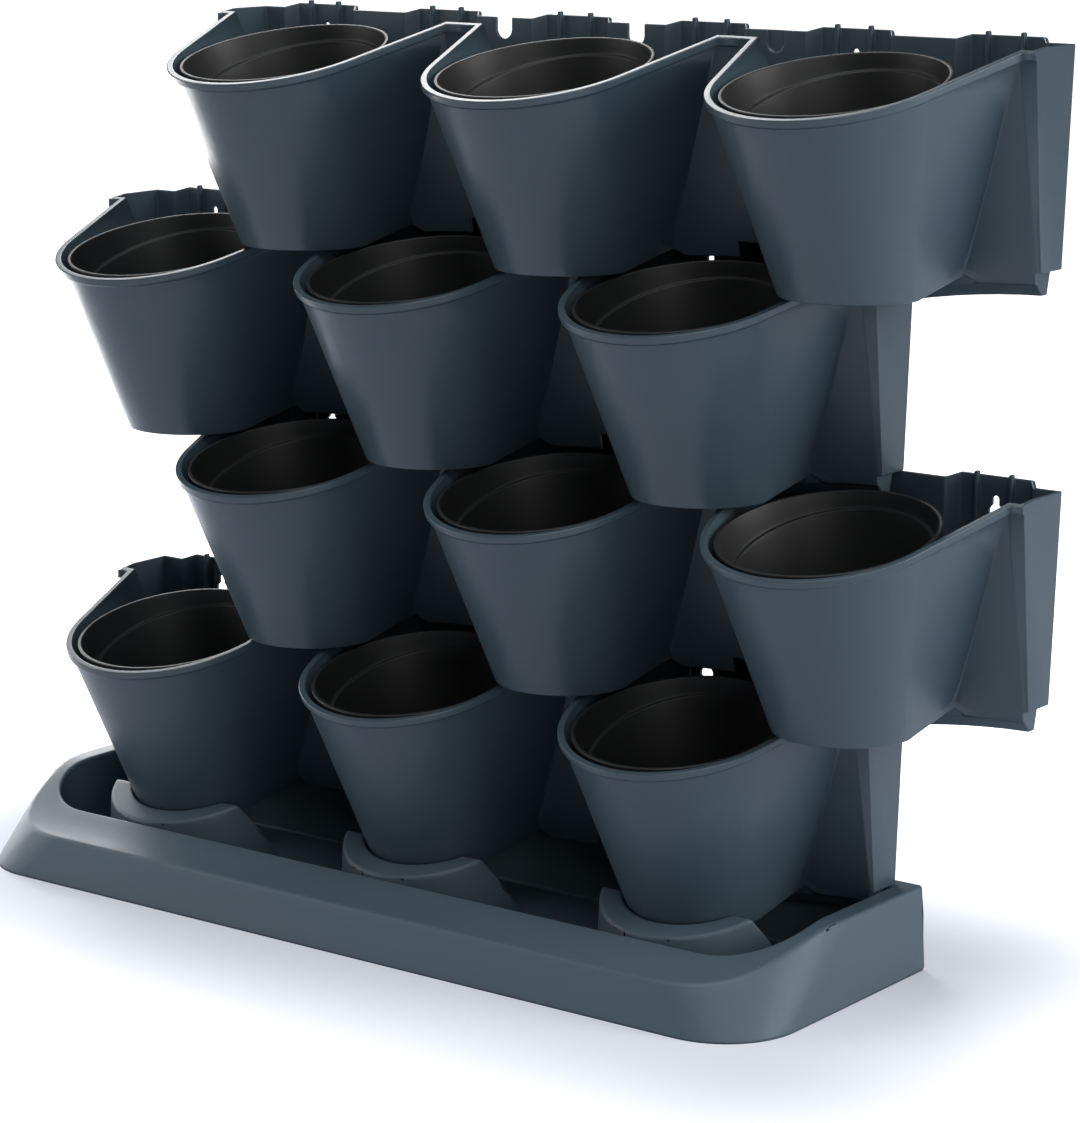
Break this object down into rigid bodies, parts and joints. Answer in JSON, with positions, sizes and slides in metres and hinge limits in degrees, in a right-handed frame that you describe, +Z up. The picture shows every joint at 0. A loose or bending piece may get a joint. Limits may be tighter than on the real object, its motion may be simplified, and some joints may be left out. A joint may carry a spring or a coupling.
{
  "type": "stacked wall planter",
  "caption": "Rows of slanted round planter cells stacked in a staggered wall on a drip tray, each cell holding a lift-out pot.",
  "frame": {"origin": "on the ground, in the middle of the whole object's bounding box", "axes": "+X along the rows, +Y to the wall behind, +Z up"},
  "size_m": [0.706, 0.1916, 0.5582],
  "materials": {
    "shell_plastic": "fine satin slate blue-grey moulded polypropylene",
    "pot_plastic": "matt charcoal moulded polypropylene"
  },
  "bodies": {
    "tray": {"drip_tray": "shell_plastic"},
    "row_4": {"wall_module_4": "shell_plastic"},
    "row_3": {"wall_module_3": "shell_plastic"},
    "row_2": {"wall_module_2": "shell_plastic"},
    "row_1": {"wall_module_1": "shell_plastic"},
    "pot_1_1": {"inner_pot_1_1": "pot_plastic"},
    "pot_1_2": {"inner_pot_1_2": "pot_plastic"},
    "pot_1_3": {"inner_pot_1_3": "pot_plastic"},
    "pot_2_1": {"inner_pot_2_1": "pot_plastic"},
    "pot_2_2": {"inner_pot_2_2": "pot_plastic"},
    "pot_2_3": {"inner_pot_2_3": "pot_plastic"},
    "pot_3_1": {"inner_pot_3_1": "pot_plastic"},
    "pot_3_2": {"inner_pot_3_2": "pot_plastic"},
    "pot_3_3": {"inner_pot_3_3": "pot_plastic"},
    "pot_4_1": {"inner_pot_4_1": "pot_plastic"},
    "pot_4_2": {"inner_pot_4_2": "pot_plastic"},
    "pot_4_3": {"inner_pot_4_3": "pot_plastic"}
  },
  "joints": [
    {"name": "lift_row_4", "type": "slide", "parent": "tray", "child": "row_4", "axis": [0, 0, 1], "range_m": [0, 0.04]},
    {"name": "lift_row_3", "type": "slide", "parent": "row_4", "child": "row_3", "axis": [0, 0, 1], "range_m": [0, 0.04]},
    {"name": "lift_row_2", "type": "slide", "parent": "row_3", "child": "row_2", "axis": [0, 0, 1], "range_m": [0, 0.04]},
    {"name": "lift_row_1", "type": "slide", "parent": "row_2", "child": "row_1", "axis": [0, 0, 1], "range_m": [0, 0.04]},
    {"name": "lift_pot_1_1", "type": "slide", "parent": "row_1", "child": "pot_1_1", "axis": [0, -0.2079, 0.9781], "range_m": [0, 0.13]},
    {"name": "lift_pot_1_2", "type": "slide", "parent": "row_1", "child": "pot_1_2", "axis": [0, -0.2079, 0.9781], "range_m": [0, 0.13]},
    {"name": "lift_pot_1_3", "type": "slide", "parent": "row_1", "child": "pot_1_3", "axis": [0, -0.2079, 0.9781], "range_m": [0, 0.13]},
    {"name": "lift_pot_2_1", "type": "slide", "parent": "row_2", "child": "pot_2_1", "axis": [0, -0.2079, 0.9781], "range_m": [0, 0.0005]},
    {"name": "lift_pot_2_2", "type": "slide", "parent": "row_2", "child": "pot_2_2", "axis": [0, -0.2079, 0.9781], "range_m": [0, 0.0005]},
    {"name": "lift_pot_2_3", "type": "slide", "parent": "row_2", "child": "pot_2_3", "axis": [0, -0.2079, 0.9781], "range_m": [0, 0.0005]},
    {"name": "lift_pot_3_1", "type": "slide", "parent": "row_3", "child": "pot_3_1", "axis": [0, -0.2079, 0.9781], "range_m": [0, 0.0005]},
    {"name": "lift_pot_3_2", "type": "slide", "parent": "row_3", "child": "pot_3_2", "axis": [0, -0.2079, 0.9781], "range_m": [0, 0.0005]},
    {"name": "lift_pot_3_3", "type": "slide", "parent": "row_3", "child": "pot_3_3", "axis": [0, -0.2079, 0.9781], "range_m": [0, 0.0005]},
    {"name": "lift_pot_4_1", "type": "slide", "parent": "row_4", "child": "pot_4_1", "axis": [0, -0.2079, 0.9781], "range_m": [0, 0.0005]},
    {"name": "lift_pot_4_2", "type": "slide", "parent": "row_4", "child": "pot_4_2", "axis": [0, -0.2079, 0.9781], "range_m": [0, 0.0005]},
    {"name": "lift_pot_4_3", "type": "slide", "parent": "row_4", "child": "pot_4_3", "axis": [0, -0.2079, 0.9781], "range_m": [0, 0.0005]}
  ]
}
